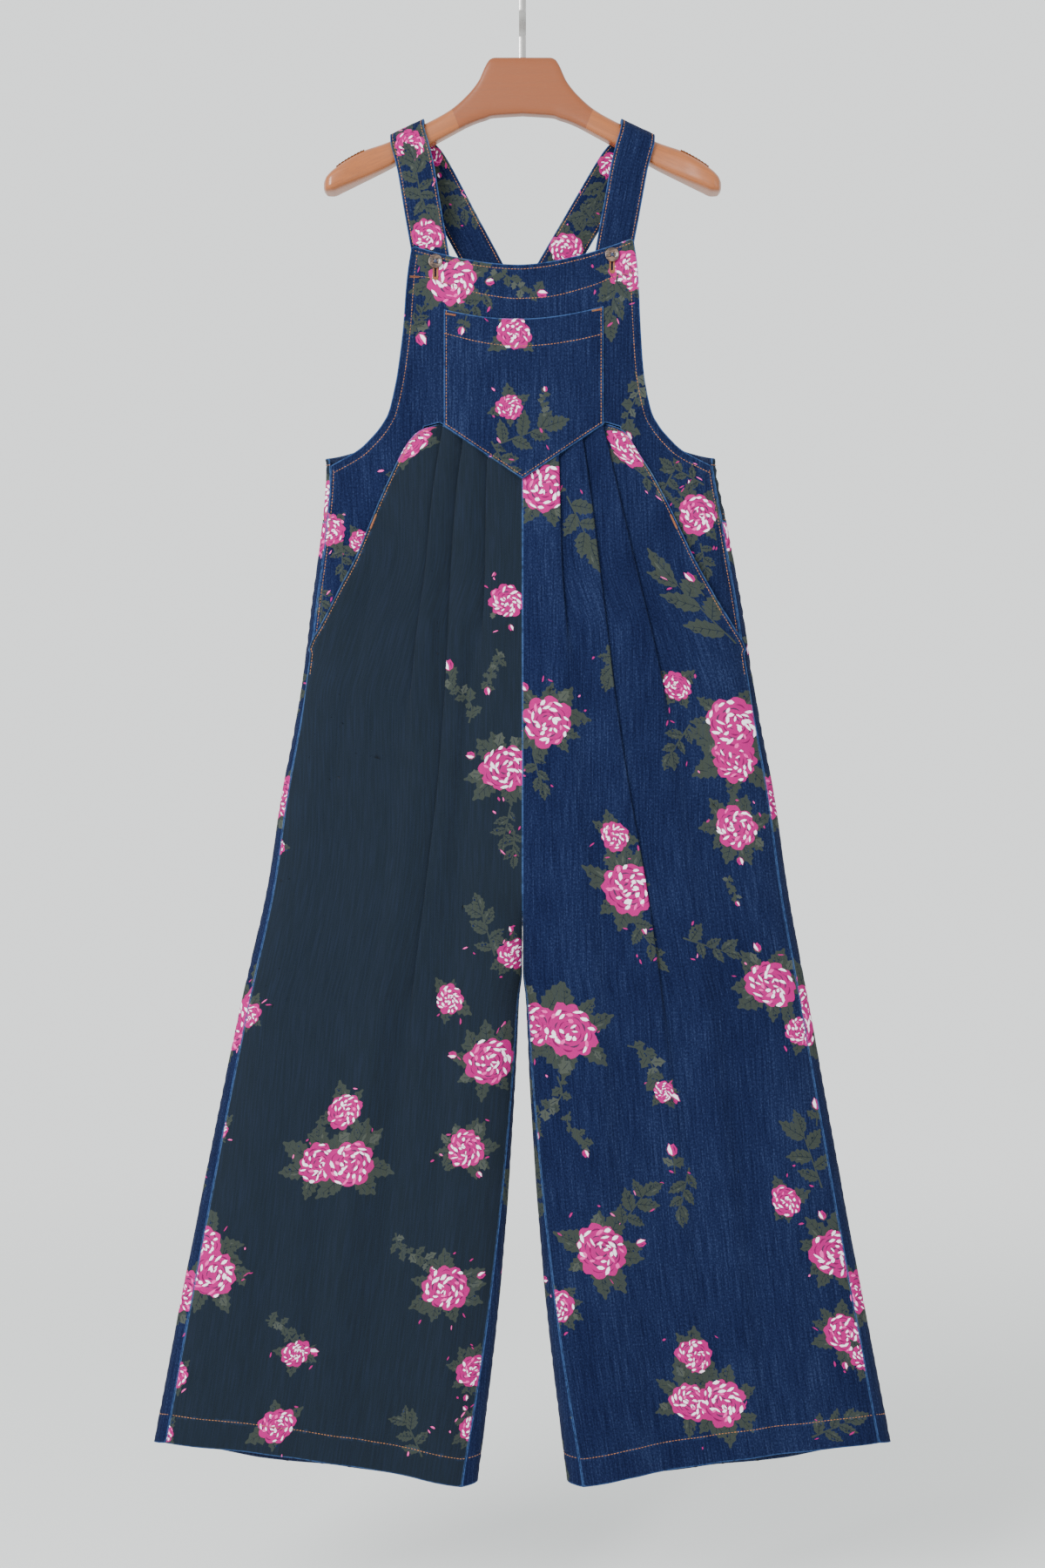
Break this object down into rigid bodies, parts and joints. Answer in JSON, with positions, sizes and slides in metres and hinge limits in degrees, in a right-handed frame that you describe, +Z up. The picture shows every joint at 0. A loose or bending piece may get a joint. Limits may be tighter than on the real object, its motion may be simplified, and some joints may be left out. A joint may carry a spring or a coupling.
{
  "type": "denim bib dungarees on a wooden hanger",
  "caption": "Wide-leg pleated denim bib dungarees, hung by buttoned straps from a contoured wooden hanger with a metal hook.",
  "frame": {"origin": "inner top of the hanger's hook, where a rod carries the part", "axes": "+Z up along the hanging garment, -Y out of its front, +X to the viewer's right"},
  "size_m": [0.7753, 0.0536, 1.5914],
  "materials": {
    "denim": "indigo twill with a printed rose pattern",
    "horn_button": "polished horn-like resin",
    "varnished_beech": "glossy varnish",
    "satin_nickel": "satin",
    "grip_strip": "matte ribbed strip"
  },
  "bodies": {
    "root": {"bib_front": "denim", "bib_pocket": "denim", "front_leg_left": "denim", "front_leg_right": "denim", "back_bodice": "denim", "back_leg_left": "denim", "back_leg_right": "denim", "strap_left": "denim", "strap_right": "denim", "button_left": "horn_button", "button_right": "horn_button", "hanger_body": "varnished_beech", "hanger_hook": "satin_nickel", "hanger_grip_left": "grip_strip", "hanger_grip_right": "grip_strip"}
  },
  "joints": []
}
